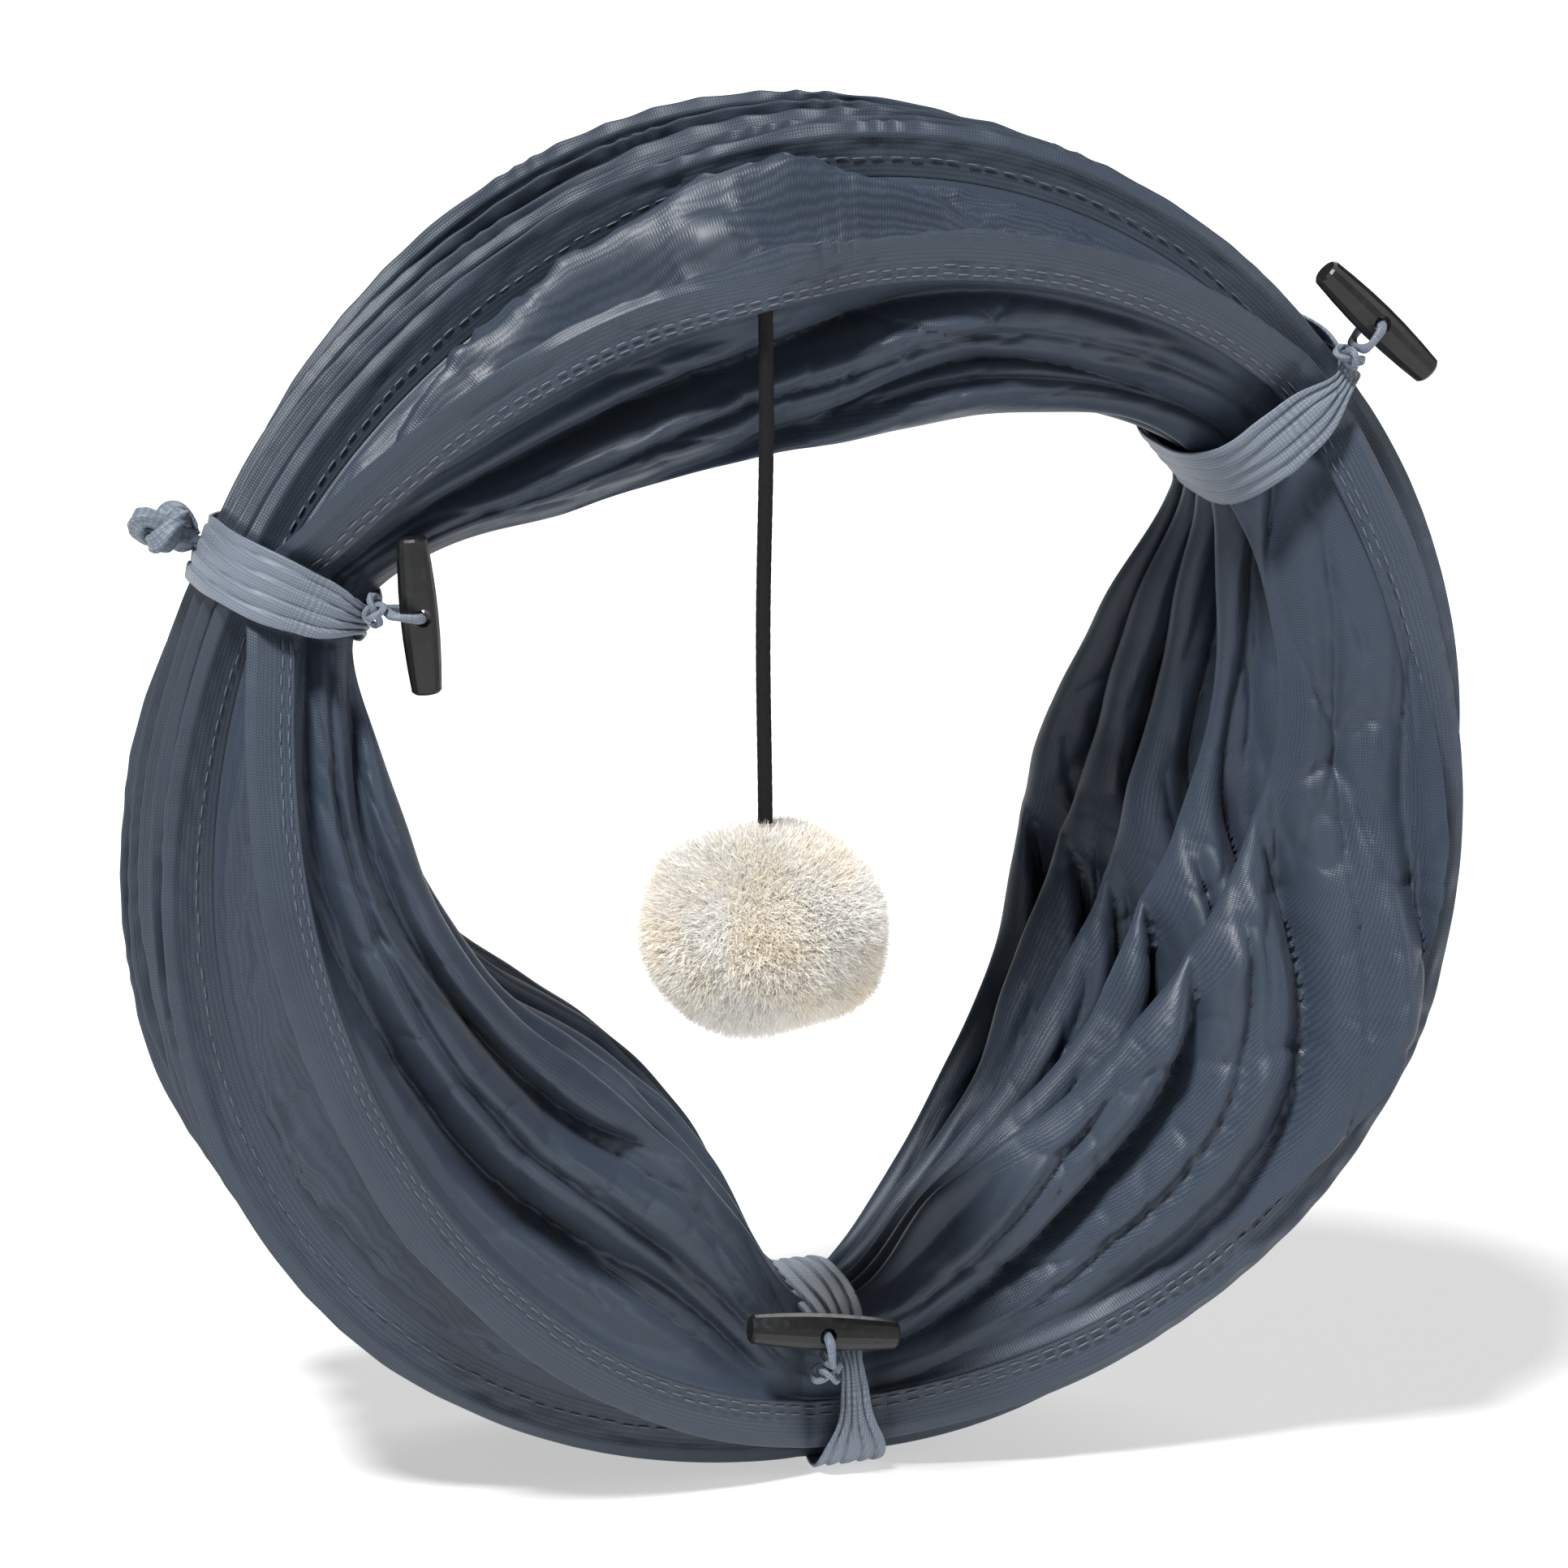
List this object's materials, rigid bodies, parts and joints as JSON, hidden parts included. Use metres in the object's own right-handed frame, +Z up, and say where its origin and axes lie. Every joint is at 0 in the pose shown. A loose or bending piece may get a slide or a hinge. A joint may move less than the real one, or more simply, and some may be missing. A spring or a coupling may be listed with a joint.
{
  "type": "cat tunnel",
  "caption": "Pop-up cloth tunnel on a spiral spring wire, pushed flat and tied into a ring by toggle straps, with a pompom on a cord.",
  "frame": {"origin": "centre of the flat underside of the bottom strap, on which the ring stands", "axes": "+Z up, the tunnel's axis runs along Y and its front opening with the pompom faces -Y, +X to the right seen from the front"},
  "size_m": [0.2571, 0.1203, 0.2656],
  "materials": {
    "cloth": "satin",
    "hem": "satin",
    "strap": "satin",
    "wire": "satin",
    "cap": "matte",
    "toggle": "matte",
    "cord": "matte",
    "plush": "fluffy"
  },
  "bodies": {
    "ring": {"spiral_spring_wire": "wire", "wire_cap_front": "cap", "wire_cap_rear": "cap", "front_hem": "hem", "rear_hem": "hem", "strap_tail_left": "strap", "cord_tab": "hem", "wire_channel_1": "hem", "wire_channel_2": "hem", "wire_channel_3": "hem", "wire_channel_4": "hem", "cloth_panel_1": "cloth", "cloth_panel_2": "cloth", "cloth_panel_3": "cloth", "cloth_panel_4": "cloth", "cloth_panel_5": "cloth", "strap_top": "strap", "toggle_loop_top": "strap", "toggle_knot_top": "strap", "strap_left": "strap", "toggle_loop_left": "strap", "toggle_knot_left": "strap", "strap_bottom": "strap", "toggle_loop_bottom": "strap", "toggle_knot_bottom": "strap"},
    "cord_knot": {"cord_knot": "cord"},
    "pompom_cord": {"pompom_cord": "cord"},
    "pompom": {"pompom": "plush"},
    "toggle_top": {"toggle_top": "toggle"},
    "toggle_left": {"toggle_left": "toggle"},
    "toggle_bottom": {"toggle_bottom": "toggle"}
  },
  "joints": [
    {"name": "swing_side", "type": "hinge", "parent": "ring", "child": "cord_knot", "pos_m": [-0.0232, -0.0444, 0.2456], "axis": [0, -1, 0], "range_deg": [-11, 20]},
    {"name": "swing_fore", "type": "hinge", "parent": "cord_knot", "child": "pompom_cord", "pos_m": [-0.0232, -0.0444, 0.2456], "axis": [-1, 0, 0], "range_deg": [-10, 60]},
    {"name": "pompom_pull", "type": "slide", "parent": "pompom_cord", "child": "pompom", "axis": [0, 0, -1], "range_m": [0, 0.035], "stiffness_N_per_m": 30, "deforming": ["pompom_cord"]},
    {"name": "toggle_top_turn", "type": "hinge", "parent": "ring", "child": "toggle_top", "pos_m": [0.10559, -0.0237, 0.22594], "axis": [0, 1, 0], "range_deg": [-20, 20]},
    {"name": "toggle_left_turn", "type": "hinge", "parent": "ring", "child": "toggle_left", "pos_m": [-0.08581, -0.0274, 0.17896], "axis": [0, 1, 0], "range_deg": [-20, 20]},
    {"name": "toggle_bottom_turn", "type": "hinge", "parent": "ring", "child": "toggle_bottom", "pos_m": [-0.00722, -0.029, 0.03205], "axis": [0, 1, 0], "range_deg": [-20, 20]}
  ]
}
